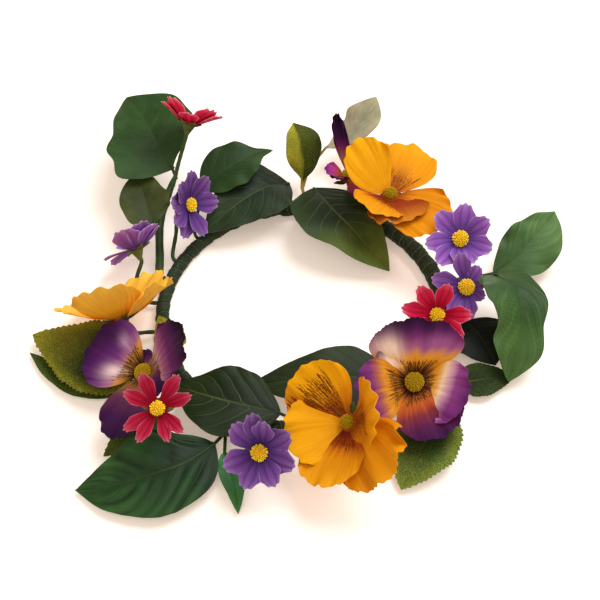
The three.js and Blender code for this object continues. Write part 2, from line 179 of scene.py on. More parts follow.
# --- Meshes ---
class Skin:
    """Collects surfaces, with a colour and three pattern numbers at each point, into one mesh."""

    def __init__(self):
        self.points, self.tints, self.patterns = [], [], []
        self.faces = {4: [np.zeros((0, 4), int)], 3: [np.zeros((0, 3), int)]}
        self.slots = {4: [np.zeros(0, int)], 3: [np.zeros(0, int)]}
        self.count = 0

    def store(self, points, tint, pattern):
        points = points.reshape(-1, 3)
        start = self.count
        for kept, value in ((self.points, points), (self.tints, tint), (self.patterns, pattern)):
            value = np.asarray(value, float)
            value = value.reshape(-1, 3) if value.size > 3 else np.broadcast_to(value, points.shape)
            kept.append(value)
        self.count += len(points)
        return start

    def add_faces(self, corners, slot):
        """Adds faces of 3 or 4 corners each."""
        size = corners.shape[-1]
        self.faces[size].append(corners.reshape(-1, size))
        self.slots[size].append(np.full(len(self.faces[size][-1]), slot))

    def tube(self, rings, tint, pattern=(0, 0, 0), slot=0):
        """A closed skin over rings of points, with flat ends."""
        rows, sides = rings.shape[:2]
        start = self.store(rings, tint, pattern)
        i = np.arange(rows * sides).reshape(rows, sides) + start
        j = np.roll(i, -1, axis=1)
        self.add_faces(np.stack([i[:-1], j[:-1], j[1:], i[1:]], -1), slot)
        for row, ring in ((0, i[0][::-1]), (-1, i[-1])):
            flat = [np.asarray(value, float) for value in (tint, pattern)]
            flat = [value[row].mean(0) if value.size > 3 else value for value in flat]
            hub = np.full(sides, self.store(rings[row].mean(0)[None], *flat))
            self.add_faces(np.stack([ring, np.roll(ring, -1), hub], -1), slot)

    def sheet(self, grid, tint, pattern, thickness, slot=0, back_tint=None, back_strength=0.0):
        """A thin closed cloth over a grid of points. Its back shows less of the printed pattern."""
        rows, columns = grid.shape[:2]
        normal = unit(np.cross(np.gradient(grid, axis=0), np.gradient(grid, axis=1)))
        back_pattern = np.array(np.broadcast_to(pattern, grid.shape), float)
        back_pattern[..., 2] *= back_strength
        a = self.store(grid + normal * thickness / 2, tint, pattern)
        b = self.store(grid - normal * thickness / 2, tint if back_tint is None else back_tint,
                       back_pattern)
        i = np.arange(rows * columns).reshape(rows, columns)
        cells = np.stack([i[:-1, :-1], i[1:, :-1], i[1:, 1:], i[:-1, 1:]], -1)
        self.add_faces(cells + a, slot)
        self.add_faces(cells[..., ::-1] + b, slot)
        rim = np.concatenate([i[0, :-1], i[:-1, -1], i[-1, :0:-1], i[:0:-1, 0]])
        after = np.roll(rim, -1)
        self.add_faces(np.stack([rim + a, after + a, after + b, rim + b], -1), slot)

    def build(self, name, node, slot, materials, shade=1.0):
        """Makes the object, which stands for a CAD node and rides with that node's body."""
        quads, triangles = (np.concatenate(self.faces[size]) for size in (4, 3))
        mesh = bpy.data.meshes.new(name)
        mesh.vertices.add(self.count)
        mesh.vertices.foreach_set("co", place(np.concatenate(self.points)).ravel())
        mesh.loops.add(quads.size + triangles.size)
        mesh.loops.foreach_set("vertex_index", np.concatenate([quads.ravel(), triangles.ravel()]))
        mesh.polygons.add(len(quads) + len(triangles))
        starts = np.concatenate([np.arange(len(quads)) * 4, quads.size + np.arange(len(triangles)) * 3])
        mesh.polygons.foreach_set("loop_start", starts)
        mesh.polygons.foreach_set("material_index", np.concatenate(self.slots[4] + self.slots[3]))
        mesh.update(calc_edges=True)
        mesh.polygons.foreach_set("use_smooth", np.ones(len(mesh.polygons), bool))
        mesh.set_sharp_from_angle(angle=math.radians(55))
        tints = np.minimum(np.concatenate(self.tints) * shade, 0.95)
        for title, values in (("tint", tints), ("pattern", np.concatenate(self.patterns))):
            layer = mesh.attributes.new(title, "FLOAT_VECTOR", "POINT")
            layer.data.foreach_set("vector", values.ravel().astype(np.float32))
        for material in materials:
            mesh.materials.append(material)
        piece = bpy.data.objects.new(name, mesh)
        scene.collection.objects.link(piece)
        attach(piece, frame["nodes"][node]["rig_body"])
        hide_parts(node)


def rings_along(path, radii):
    """Rings of points round a path, square to it."""
    tangents = unit(np.gradient(path, axis=0))
    across = unit(np.cross(tangents[0], [0.31, 0.17, 0.93]))
    rings = []
    turn = circle(ROD_SIDES)
    for point, tangent, radius in zip(path, tangents, np.broadcast_to(radii, len(path))):
        across = unit(across - tangent * (across @ tangent))
        other = np.cross(tangent, across)
        rings.append(point + radius * (np.cos(turn)[:, None] * across + np.sin(turn)[:, None] * other))
    return np.array(rings)


def lay_rod(skin, path, radii, colour, slot=0):
    rings = above_table(rings_along(path, radii))
    around = np.linspace(0, 1, rings.shape[1])[None]
    along = np.arange(len(path))[:, None] / 4
    skin.tube(rings, colour, stacked(around, along, 0.0), slot)


# --- Materials ---
class Field:
    """A number, vector or colour that varies over a surface. Working with it adds shader nodes."""

    def __init__(self, shader, socket):
        self.shader, self.socket = shader, socket

    def math(self, operation, other=0.0, clamp=False):
        return self.shader.node("Math", {0: self, 1: other}, operation=operation, use_clamp=clamp)

    def __add__(self, other):
        return self.math("ADD", other)

    def __sub__(self, other):
        return self.math("SUBTRACT", other)

    def __mul__(self, other):
        return self.math("MULTIPLY", other)

    def span(self, start, end, to_start=0.0, to_end=1.0):
        """Eases from to_start to to_end, while this goes from start to end."""
        return self.shader.node("MapRange", {0: self, 1: start, 2: end, 3: to_start, 4: to_end},
                                interpolation_type="SMOOTHSTEP")

    def parts(self):
        outputs = self.shader.node("SeparateXYZ", {0: self}).socket.node.outputs
        return [Field(self.shader, output) for output in outputs]

    def mixed(self, factor, other):
        """This colour, changed to the other one by a factor from 0 to 1."""
        return self.shader.mix(factor, self, other)

    def times(self, *amounts):
        return self.shader.mix(1.0, self, amounts, "MULTIPLY")


class Shader:
    """A Principled material that is built node by node."""

    def __init__(self, name, **values):
        self.material = bpy.data.materials.new(name)
        self.material.use_nodes = True
        self.tree = self.material.node_tree
        self.surface = self.tree.nodes["Principled BSDF"]
        for key, value in values.items():
            self.surface.inputs[key.replace("_", " ")].default_value = value

    def node(self, kind, inputs, output=0, **settings):
        node = self.tree.nodes.new("ShaderNode" + kind)
        for key, value in settings.items():
            setattr(node, key, value)
        for key, value in inputs.items():
            if isinstance(value, Field):
                self.tree.links.new(value.socket, node.inputs[key])
            else:
                node.inputs[key].default_value = value
        return Field(self, node.outputs[output])

    def attribute(self, name):
        return self.node("Attribute", {}, "Vector", attribute_name=name)

    def position(self, scale):
        """Place on the object in metres, times a scale."""
        spot = self.node("TexCoord", {}, "Object")
        return self.node("VectorMath", {0: spot, "Scale": scale}, operation="SCALE")

    def mix(self, factor, a, b, blend="MIX"):
        a, b = (rgb(colour) if isinstance(colour, str) else colour for colour in (a, b))
        a, b = (colour if isinstance(colour, Field) else (*colour, 1.0) for colour in (a, b))
        return self.node("Mix", {0: factor, 6: a, 7: b}, 2, data_type="RGBA", blend_type=blend)

    def noise(self, vector, detail=3.0, roughness=0.55):
        return self.node("TexNoise", {"Vector": vector, "Scale": 1.0, "Detail": detail,
                                      "Roughness": roughness})

    def cloud(self, scale, detail=3.0):
        return self.noise(self.position(scale), detail)

    def streaks(self, x, y, detail=3.0, roughness=0.55):
        """Noise over two fields, longer along the one that changes slowly."""
        return self.noise(self.node("CombineXYZ", {0: x, 1: y, 2: 0.0}), detail, roughness)

    def weave(self, pitch):
        """Height of a fine plain weave, from two crossed sets of threads."""
        x, y, z = self.position(FULL_TURN / pitch).parts()
        return (x + z * 0.6).math("SINE") * (y + z * 0.6).math("SINE")

    def finish(self, colour, roughness, heights):
        """heights: (height, strength, distance in metres) of each bump, coarse to fine."""
        links = {"Base Color": colour, "Roughness": roughness}
        for height, strength, distance in heights:
            inputs = {"Height": height, "Strength": strength, "Distance": distance}
            if "Normal" in links:
                inputs["Normal"] = links["Normal"]
            links["Normal"] = self.node("Bump", inputs)
        for key, field in links.items():
            self.tree.links.new(field.socket, self.surface.inputs[key])
        return self.material


def leaf_material(name, gloss):
    """pattern: vein number along the midrib, distance across (-1 to 1), strength of the veins."""
    shader = Shader(name, Specular_IOR_Level=0.06 + 0.12 * gloss)
    tint = shader.attribute("tint")
    veins, across, strength = shader.attribute("pattern").parts()
    beat = (veins + (shader.cloud(90.0, 2.0) - 0.5) * 0.3).math("PINGPONG", 0.5)
    distance = across.math("ABSOLUTE")
    vein = beat.span(0.455, 0.492) * distance.span(0.5, 0.95, 1.0, 0.1)
    rib = distance.span(0.012, 0.04, 1.0, 0.0)
    line = vein.math("MAXIMUM", rib).math("MULTIPLY", strength, clamp=True)
    cloud = shader.cloud(38.0, 4.0)
    fine = shader.streaks(veins * 9.0, across * 3.0, 4.0)
    colour = tint.times(0.6, 0.68, 0.62).mixed(cloud.span(0.3, 0.72), tint.times(1.3, 1.26, 1.12))
    colour = colour.mixed(fine.span(0.42, 0.7, 0.0, 0.3), tint.times(1.6, 1.55, 1.35))
    if gloss < 0.5:
        cells = shader.node("TexVoronoi", {"Vector": shader.position(1.0), "Scale": 700.0},
                            feature="DISTANCE_TO_EDGE")
        colour = colour.mixed(cells.span(0.03, 0.16, 1.0, 0.0) * 0.75, tint.times(2.1, 2.1, 1.4))
    colour = colour.mixed(line * 0.5, "#5f6c30")
    colour = colour.mixed(distance.span(0.965, 1.0) * 0.3, "#4c481c")
    rough = cloud.span(0.25, 0.8, 0.66 - 0.24 * gloss, 0.78 - 0.24 * gloss)
    return shader.finish(colour, rough, [(line, 0.3, 0.0005), (fine, 0.2, 0.0005),
                                         (shader.weave(0.00055), 0.16, 0.00012)])


def petal_material(name, ink):
    """pattern: place across (-1 to 1), distance along (0 to 1), strength of the printed lines."""
    shader = Shader(name, Specular_IOR_Level=0.1)
    tint = shader.attribute("tint")
    across, along, strength = shader.attribute("pattern").parts()
    lines = shader.streaks(across * 23.0, along * 3.2, 2.5, 0.6)
    breaks = shader.streaks(across * 34.0, along * 26.0, 2.0)
    drawn = lines + (breaks - 0.5) * 0.5 - strength.span(0.0, 1.0, 0.74, 0.43)
    drawn = drawn.span(0.0, 0.07).math("MULTIPLY", strength.span(0.02, 0.3), clamp=True)
    cloud = shader.cloud(55.0)
    streak = shader.streaks(across * 14.0, along)
    veinlet = shader.streaks(across * 42.0, along * 2.2, 2.0)
    colour = tint.mixed(cloud.span(0.3, 0.75, 0.0, 0.5), tint.times(0.86, 0.8, 0.8))
    colour = colour.mixed(streak.span(0.45, 0.75, 0.0, 0.5), tint.times(1.16, 1.16, 1.18))
    colour = colour.mixed(streak.span(0.2, 0.45, 0.5, 0.0), tint.times(0.74, 0.66, 0.68))
    colour = colour.mixed(veinlet.span(0.52, 0.66, 0.0, 0.5), colour.times(0.86, 0.66, 0.62))
    colour = colour.mixed(drawn * 0.88, ink)
    crease = shader.streaks(across * 9.0, along * 1.3, 4.0)
    rough = cloud.span(0.2, 0.8, 0.55, 0.72)
    return shader.finish(colour, rough, [(crease, 0.5, 0.0011), (veinlet, 0.3, 0.0004),
                                         (shader.weave(0.0005), 0.18, 0.0001)])


def stem_material():
    """pattern: place round the stem, place along it."""
    shader = Shader("stem_moulding", Specular_IOR_Level=0.25)
    around, along, _ = shader.attribute("pattern").parts()
    ribs = shader.streaks(around * 10.0, along * 0.6)
    cloud = shader.cloud(160.0)
    colour = shader.attribute("tint").mixed(cloud.span(0.3, 0.7, 0.0, 0.45), "#1a2614")
    colour = colour.mixed(ribs.span(0.5, 0.75, 0.0, 0.25), "#6d7c3e")
    rough = cloud.span(0.2, 0.8, 0.45, 0.68)
    return shader.finish(colour, rough, [(ribs, 0.4, 0.0005), (cloud, 0.2, 0.0003)])


def tape_material():
    """pattern: turns of tape since the wrap's start, place round the wrap, place along it."""
    shader = Shader("floral_tape", Specular_IOR_Level=0.2)
    lap, around, along = shader.attribute("pattern").parts()
    lap = (lap + shader.cloud(420.0, 2.0) * 0.05).math("FRACT")
    crepe = shader.streaks(along * 4.5, around * 7.0, 4.0)
    fleck = shader.cloud(650.0)
    colour = shader.mix(shader.cloud(120.0).span(0.3, 0.7), "#17261a", "#223320")
    colour = colour.mixed(crepe.span(0.4, 0.72, 0.0, 0.35), "#3c4a28")
    # Darker just before each turn's raised edge: painted shade beside the lapping tape.
    colour = colour.mixed(lap.span(0.72, 1.0) * 0.6, "#0d140b")
    colour = colour.mixed(fleck.span(0.57, 0.7, 0.0, 0.5), "#5a6230")
    # A pale line on each turn's raised edge: partly the tape's paler edge, partly painted highlight.
    colour = colour.mixed(lap.span(0.0, 0.09, 1.0, 0.0) * 0.6, "#757038")
    rough = crepe.span(0.2, 0.8, 0.5, 0.75)
    return shader.finish(colour, rough, [(crepe, 0.55, 0.0005), (fleck, 0.5, 0.0006)])


def stamen_material():
    """pattern: height up each stamen (0 to 1)."""
    shader = Shader("stamens", Specular_IOR_Level=0.15)
    tint = shader.attribute("tint")
    height = shader.attribute("pattern").parts()[0]
    grain = shader.cloud(1500.0, 2.0)
    # Darker towards each stamen's foot: painted shade down in the gaps between the stamens.
    colour = tint.mixed(height.span(0.0, 0.6, 0.42, 0.0), tint.times(0.55, 0.38, 0.3))
    colour = colour.mixed(grain.span(0.45, 0.75, 0.0, 0.4), tint.times(1.25, 1.2, 1.1))
    return shader.finish(colour, grain.span(0.2, 0.8, 0.6, 0.85), [(grain, 0.3, 0.0002)])


SATIN_LEAF = leaf_material("leaf_satin", 1.0)
MATT_LEAF = leaf_material("leaf_matt", 0.35)
PLAIN_LEAF = leaf_material("leaf_plain", 0.5)
INKS = {"yellow": "#5c1c04", "purple": "#1a0805", "violet": "#3a1c5c", "pink": "#7c0526"}
PETALS = {colour: petal_material("petal_" + colour, ink) for colour, ink in INKS.items()}
STEM = stem_material()
TAPE = tape_material()
STAMEN = stamen_material()


# --- Hoop ---
def build_wrap(node, start, end, half_width, seed):
    """Tape wound round the hoop, each turn lapping the one before, flat where it rests."""
    rng = np.random.default_rng(seed)
    length = math.radians(end - start) * HOOP_RADIUS
    rows = int(length / 0.55)
    degrees = np.linspace(start, end, rows)[:, None]
    along = np.linspace(0, length, rows)[:, None]
    turn = circle(40)[None]
    lap = along / TAPE_PITCH + turn / FULL_TURN + 0.06 * ripple(along / 40, rng)
    part = lap % 1.0
    step = 0.5 * (1 - part) * smooth(0, 0.06, part)
    crepe = 0.12 * np.sin(along * 2.3 + turn * 3 + 2 * np.sin(along * 0.31)) * smooth(0.05, 0.3, part)
    bundle = 0.35 * np.sin(turn * 3 + along * 0.05) + 0.3 * ripple(along / 45, rng)
    swell = step + crepe + bundle - 0.35
    width = half_width + swell
    height = HOOP_HEIGHT + swell * 0.7
    points = hoop_point(degrees, width * np.cos(turn), height * np.sin(turn))
    points[..., 2] = np.clip(points[..., 2], 0, 2 * HOOP_HEIGHT + 0.8)
    skin = Skin()
    skin.tube(points, rgb("#3c5230"), stacked(lap, turn / 6.28, along / 6))
    skin.build(node + "_turns", node, "tape", [TAPE])


build_wrap("tape_wrap_thick", THICK_WRAP[0], THICK_WRAP[1], THICK_WRAP_HALF_WIDTH, 3)
build_wrap("tape_wrap_thin", THICK_WRAP[1] + 0.1, THICK_WRAP[0] + 359.9, THIN_WRAP_HALF_WIDTH, 4)
wire = frame["nodes"]["hoop_wire"]
wire.data.materials.clear()
wire.data.materials.append(STEM)


# --- Leaves ---
# spine: points on the midrib from base to tip; width: across the blade; roll and fold in degrees;
# belly: where along the blade it is widest; blunt: roundness of the outline, 1 is pointed;
# tints: centre, edge and tip; teeth: number and depth of the saw teeth of the edge; wave: height of
# the waves of the edge; veins: number and strength; lean: share of the width on the left side;
# hook: how far the tip turns to the left; folds: height of the soft folds between the veins, and strength
# of their painted shade and highlight;
# streaks: strength of the lighter streaks along the veins, a painted sheen highlight; left: colour of the
# left half;
# left_belly: the belly on the left side; drip: how far the tip narrows; notch: depth of dents;
# fold_wander: unevenness of the folds; margin: where the edge's colour starts; plain: no crackle;
# root: brightness of the base, where a painted shadow of the flower above falls, 1 is as bright as the
# rest; stalk: where the leaf's stalk starts
LEAF = dict(belly=0.42, blunt=0.85, tints="#3d5630 #3d5630 #4a643a", teeth=(0, 0), wave=1.4,
            veins=(6, 0.6), lean=0.5, back="#4d5a3a", hook=0.0, folds=0.0, streaks=0.25, left=None,
            left_belly=None, drip=0.0, notch=0.03, fold_wander=0.3, margin=0.25, plain=False,
            root=1.0, roll=0, fold=6, stalk=None)
# dock: where the stem meets the hoop, in degrees round it and degrees up round the tape; stem: the
# points that it goes through from there; radius: of the stem; olive: matt and yellowish, not satin;
# shade: brightness; rod: colour of the stem and stalks
SPRAYS = [
    dict(node="tall_sprig", dock=(166, 50), radius=2.7,
         stem=[(-93, 38, 12), (-94, 61, 18), (-90, 79, 25), (-84, 93, 33)], leaves=[
        dict(spine=[(-87, 98, 32), (-96, 111, 37), (-107, 134, 40), (-122, 162, 38)], width=65, roll=-4,
             stalk=[(-84, 90, 31.5)], blunt=0.72, belly=0.64, left_belly=0.34, wave=2.4, lean=0.52,
             notch=0.06, tints="#34502b #3d5c34 #38562f", veins=(5, 0.2)),
        dict(spine=[(-97, 60, 21), (-102, 68, 25), (-107, 84, 28), (-110, 100, 27)], width=33, fold=8,
             stalk=[(-93, 58, 17.6)], blunt=0.75, tints="#474a24 #5a5a2c #52562a", veins=(5, 0.35))]),
    dict(node="sprig_side_leaf", dock=(140, 60), stem=[(-70, 74, 16)], leaves=[
        dict(spine=[(-67, 87, 24), (-54, 96, 32), (-38, 107, 36), (-23, 118, 34)], width=34, roll=10,
             fold=8, tints="#2f4b28 #37532d #37532a", veins=(5, 0.25), wave=1.6, hook=-4, drip=0.45)]),
    dict(node="back_left_leaf", dock=(98, 10), shade=0.75, leaves=[
        dict(spine=[(-10, 104, 12), (-26, 91, 22), (-44, 76, 22), (-66, 58, 13)], width=47, roll=-8,
             fold=8, tints="#26362a #334433 #465a42", veins=(5, 0.6), streaks=0.9)]),
    dict(node="back_spray", dock=(90, 20), olive=True, rod="#c89c40", stem=[(-1, 104, 9)], leaves=[
        dict(spine=[(-1, 107, 11), (0, 111, 23), (-2, 119, 38), (-7, 129, 45)], width=30, roll=20, fold=14,
             belly=0.6, blunt=1.0, stalk=[(-1, 103, 8)], tints="#4a4f20 #373c1c #5a5722", left="#a8963a",
             veins=(5, 0.4)),
        dict(spine=[(15, 135, 15), (26, 138, 22), (39, 144, 33), (50, 157, 43)], width=34, roll=-14,
             stalk=[(-1, 103, 8), (4, 118, 12)], lean=0.49, belly=0.6, wave=0.8,
             tints="#e4c6c8 #dcbec0 #ead0d0", veins=(5, 0.2), back="#e4caca", plain=True)]),
    # The pale olive tip tint is partly the leaf's colour and partly painted light on its lit tip.
    dict(node="inner_back_leaf", dock=(82, 60), leaves=[
        dict(spine=[(7, 98, 14), (18, 75, 20), (33, 54, 20), (55, 30, 8)], width=59, roll=-8, fold=4,
             tints="#1e2c1b #37482a #8c9646", veins=(6, 1.0))]),
    dict(node="right_outer_leaf", dock=(15, 0), shade=1.15, stem=[(104, 26, 5)], leaves=[
        dict(spine=[(122, 28, 8), (138, 38, 14), (153, 53, 19), (165, 71, 20)], width=37, roll=16, fold=12,
             tints="#536f48 #58724a #607a52", veins=(4, 0.3), wave=2.2, streaks=1.2, lean=0.45, belly=0.48,
             folds=0.3, notch=0.05)]),
    dict(node="right_bent_leaf", dock=(9, 0), stem=[(104, 17, 6)], leaves=[
        dict(spine=[(119, 13, 24), (127, -2, 34), (132, -17, 33), (131, -37, 21), (123, -57, 8)], width=40,
             roll=-14, tints="#3f5c36 #4a653e #567043", belly=0.34, veins=(4, 0.25), wave=2.2, blunt=0.8,
             drip=-0.6, streaks=1.2, lean=0.45, folds=0.6, notch=0.06)]),
    # Its very dark tints and shade 0.6: partly the leaf's dark green, partly painted shade from the leaf
    # above it.
    dict(node="right_under_leaf", dock=(-4, -10), shade=0.6, leaves=[
        dict(spine=[(102, -9, 6), (110, -25, 8), (117, -42, 4)], width=40, fold=4,
             tints="#1a261e #1a261e #1a261e", wave=0.6, veins=(6, 0.2))]),
    dict(node="right_front_leaves", dock=(-33, 0), olive=True, shade=1.4, stem=[(83, -55, 5)], leaves=[
        dict(spine=[(93, -56, 5), (108, -54, 6), (128, -50, 4)], width=24, roll=4, stalk=[(82, -54.5, 5)],
             tints="#262e1a #323b1f #262e1a", wave=0.6, teeth=(16, 0.5), veins=(6, 0.4)),
        dict(spine=[(80, -70, 7), (72, -95, 9), (64, -112, 8), (55, -129, 4)], width=42, roll=4,
             stalk=[(82, -54.5, 5)], tints="#2e3c1f #70733a #70733a", margin=0.4, teeth=(24, 1.7),
             veins=(6, 0.6), wave=0.8)]),
    dict(node="inner_front_leaf", dock=(-40, 130), leaves=[
        dict(spine=[(52, -56, 12), (30, -59, 15), (4, -61, 16), (-33, -59, 7)], width=42, roll=-10,
             tints="#2a3520 #303b24 #343e26", veins=(6, 0.5))]),
    dict(node="front_veined_leaf", dock=(-94, 90), shade=0.78, leaves=[
        dict(spine=[(-14, -84, 14), (-38, -80, 18), (-58, -73, 17), (-76, -63, 12)], width=46, roll=-10,
             fold=5, tints="#263420 #2e3e26 #334629", veins=(4.6, 1.0), folds=0.35)]),
    dict(node="front_left_leaves", dock=(-117, 0), shade=1.2, stem=[(-47, -94, 5)], leaves=[
        # root=0.45 darkens this leaf's base: a painted shadow of the flower above it.
        dict(spine=[(-52, -101, 8), (-68, -116, 12), (-90, -125, 12), (-110, -129, 8), (-130, -129, 3)],
             width=52, roll=-12, fold=5, stalk=[(-46, -91, 5)], tints="#213f25 #2b4c2c #365632",
             veins=(5.6, 0.15), folds=1.8, streaks=0.7, fold_wander=2.0, blunt=0.95, root=0.45),
        dict(spine=[(-46, -105, 5), (-43, -117, 7), (-39, -130, 6), (-37, -144, 3)], width=14, fold=14,
             stalk=[(-46, -91, 5)], tints="#46805a #568a60 #568a5c", veins=(5, 0.3))]),
    dict(node="left_leaves", dock=(-156, 10), olive=True, shade=1.7, stem=[(-93, -43, 7)], leaves=[
        dict(spine=[(-100, -47, 10), (-118, -46, 15), (-140, -36, 13), (-168, -21, 7)], width=50, roll=-10,
             fold=4, stalk=[(-91, -42, 7)], tints="#1f2612 #685f1f #7d6e24", teeth=(30, 1.9),
             veins=(8, 0.6), wave=0.9, margin=0.55),
        dict(spine=[(-102, -55, 5), (-124, -58, 5), (-148, -49, 4), (-169, -32, 3)], width=20, fold=4,
             stalk=[(-91, -42, 7)], tints="#2a3319 #3f4720 #3f4720", wave=0.4, veins=(7, 0.4))]),
    dict(node="left_small_leaf", dock=(-142, 0), olive=True, shade=1.6, leaves=[
        dict(spine=[(-86, -74, 6), (-98, -91, 8), (-116, -107, 4)], width=24,
             tints="#353d1c #484f22 #484f22", teeth=(16, 1.0), wave=0.6)]),
    dict(node="left_inner_leaf", dock=(-152, 100), olive=True, leaves=[
        dict(spine=[(-79, -40, 15), (-82, -31, 17), (-89, -17, 21)], width=20,
             tints="#8f7f2a #a08c30 #a08c30", wave=0.5)]),
]


def turned(vectors, axes, degrees):
    angle = np.radians(degrees)
    return vectors * np.cos(angle) + np.cross(axes, vectors) * np.sin(angle)


def blade_reach(leaf, u, v, rng):
    """The outline, from 0 to 1 along the blade, and how far the blade reaches from its midrib."""
    outlines = []
    for belly in (leaf["belly"], leaf["left_belly"] or leaf["belly"]):
        peak = math.log(0.5) / math.log(belly)
        outline = np.maximum(np.sin(math.pi * u ** peak), 0) ** leaf["blunt"]
        outline = np.maximum(outline * (1 - leaf["drip"] * smooth(0.62, 0.86, u)), 0.015)
        outline[:6] = np.maximum(outline[:6], 0.06)
        outlines.append(outline)
    outline = outlines[0]
    shape = np.where(v > 0, outlines[1], outline)
    half = leaf["width"] / 2 * shape * (1 + leaf["notch"] * ripple(u, rng, low_count=2))
    share = np.where(v > 0, 2 * leaf["lean"], 2 * (1 - leaf["lean"]))
    count, depth = leaf["teeth"]
    saw = (u * count + 0.15 * np.sign(v)) % 1.0
    return outline, half * share + depth * (saw - 0.5) * np.abs(v) ** 10 * smooth(0.04, 0.2, outline)


def blade_relief(leaf, outline, veins, v, rng):
    """The soft folds between the veins, and the height of the whole relief."""
    groove = np.exp(-((veins % 1.0 - 0.5) / 0.16) ** 2) * np.abs(v) ** 0.5
    relief = -0.38 * leaf["veins"][1] * groove * outline - 0.35 * np.exp(-(v / 0.05) ** 2)
    bend = leaf["fold_wander"] * 1.6 * np.sin(veins * 1.3 + v * 2.2 + rng.uniform(0, 6))
    from_crease = np.sqrt(4 * ((veins + bend / 6.28) % 1.0 - 0.5) ** 2 + 0.012)
    pillow = np.sin(math.pi / 2 * np.minimum(from_crease, 1)) ** 0.7 - 0.6
    folds = (pillow * smooth(0, 0.3, np.abs(v))
             * (0.6 + 0.4 * np.sin(veins * 2.3 + 3 * v + rng.uniform(0, 6))))
    depth = leaf["folds"] * 1.4 + 0.15
    return folds, relief + depth * folds * outline * (1 - 0.4 * np.abs(v) ** 2)


def blade_tint(leaf, folds, veins, u, v, rng):
    middle, rim, tip = (rgb(text) for text in leaf["tints"].split())
    tint = blended(middle, rim, smooth(leaf["margin"], 1.0, np.abs(v)))
    tint = blended(tint, tip, smooth(0.45, 1.0, u) * 0.8)
    if leaf["left"]:
        tint = blended(tint, rgb(leaf["left"]), smooth(-0.1, 0.3, v + 0.12 * ripple(u, rng)))
    # Lighter streaks along the veins: a painted satin sheen highlight.
    streak = smooth(0.2, 1.0, ripple(veins * 0.7 + 0.1 * np.sign(v), rng)) * smooth(0, 0.3, np.abs(v))
    tint = blended(tint, tint * 1.3 + rgb("#5b6848") * 0.35, 0.5 * leaf["streaks"] * streak)
    # Painted shade in the fold creases and painted highlight on the fold crests.
    tint = tint * np.clip(1 + min(leaf["folds"], 2) * 0.85 * folds, 0.3, 1.6)[..., None]
    # Darker towards the base where root is below 1: painted shadow.
    return tint * (leaf["root"] + (1 - leaf["root"]) * smooth(0, 0.65, u))[..., None]


def build_blade(skin, leaf, rng):
    """Adds one blade, and returns the line of the raised midrib under it."""
    rows, columns = (161, 61) if leaf["folds"] > 1 else (97, 37)
    u = np.linspace(0, 1, rows)[:, None]
    v = np.sin(np.linspace(-1, 1, columns) * math.pi / 2)[None]
    spine = catmull(leaf["spine"], rows)
    tangent = unit(np.gradient(spine, axis=0))
    side = turned(unit(np.cross([0, 0, 1.0], tangent)), tangent, leaf["roll"])
    normal = np.cross(tangent, side)
    spine = spine + side * (leaf["hook"] * u ** 3)
    outline, reach = blade_reach(leaf, u, v, rng)
    number, strength = leaf["veins"]
    veins = u * number * 1.25 - np.abs(v) ** 1.25 * 2.1 + 0.25 * np.sign(v)
    folds, relief = blade_relief(leaf, outline, veins, v, rng)
    edge = smooth(0.35, 1, np.abs(v)) * outline
    wave = np.where(v > 0, ripple(u, rng, low_count=1.5), ripple(u, rng, low_count=1.5))
    flop = -0.9 * (np.abs(v) ** 2.4) * outline
    rise = math.radians(leaf["fold"])
    raised = np.sqrt(v ** 2 + 0.004) - 0.063  # |v|, rounded where the two halves meet
    lift = reach * raised * math.sin(rise) + relief + leaf["wave"] * wave * edge + flop
    grid = (spine[:, None] + side[:, None] * (reach * v * math.cos(rise))[..., None]
            + normal[:, None] * lift[..., None])
    above_table(grid, LEAF_THICKNESS / 2 + TABLE_GAP)
    tint = blade_tint(leaf, folds, veins, u, v, rng)
    back = rgb(leaf["back"]) * 0.75 + rgb(leaf["tints"].split()[0]) * 0.25
    skin.sheet(grid, tint, stacked(veins, v, strength), LEAF_THICKNESS, 2 if leaf["plain"] else 0,
               np.broadcast_to(back, grid.shape), 0.6)
    return (spine - normal * MIDRIB_DROP)[4:-14]


def build_spray(spray, seed):
    """Leaves on one stem. A thick stem narrows at its tip to the width of a leaf's stalk."""
    rng = np.random.default_rng(seed)
    skin = Skin()
    olive = spray.get("olive", False)
    stem = spray.get("stem")
    outer, inner = dock_points(spray["dock"])
    green = rgb(spray.get("rod", "#5d6a2b" if olive else "#3c5229"))
    if stem:
        steps = 60
        radius = spray.get("radius", PETIOLE_RADIUS)
        unevenness = 1 + 0.04 * ripple(np.linspace(0, 3, steps), rng)
        radii = radius * np.linspace(1.08, 0.92, steps) * unevenness
        tip = PETIOLE_RADIUS / radius
        radii *= tip + (1 - tip) * np.linspace(6, 0, steps).clip(0, 1) ** 0.6
        lay_rod(skin, catmull([inner, outer, *stem], steps), radii, green, 1)
    for leaf in spray["leaves"]:
        leaf = {**LEAF, **leaf}
        ridge = build_blade(skin, leaf, rng)
        start = leaf["stalk"] or (stem[-1:] if stem else [inner, outer])
        stalk = catmull([*start, leaf["spine"][0], ridge[3]], 34)
        midrib = ridge[6::4]
        radii = np.concatenate([np.linspace(PETIOLE_RADIUS, 0.85, len(stalk)),
                                np.linspace(0.8, 0.18, len(midrib))])
        lay_rod(skin, np.vstack([stalk, midrib]), radii, green, 1)
    materials = [MATT_LEAF if olive else SATIN_LEAF, STEM]
    if any("plain" in leaf for leaf in spray["leaves"]):
        materials.append(PLAIN_LEAF)
    skin.build(spray["node"] + "_leaves", spray["node"], "olive_leaf" if olive else "dark_leaf",
               materials, LEAF_SHADE * spray.get("shade", 1.0))


for number, each in enumerate(SPRAYS):
    build_spray(each, 100 + number)


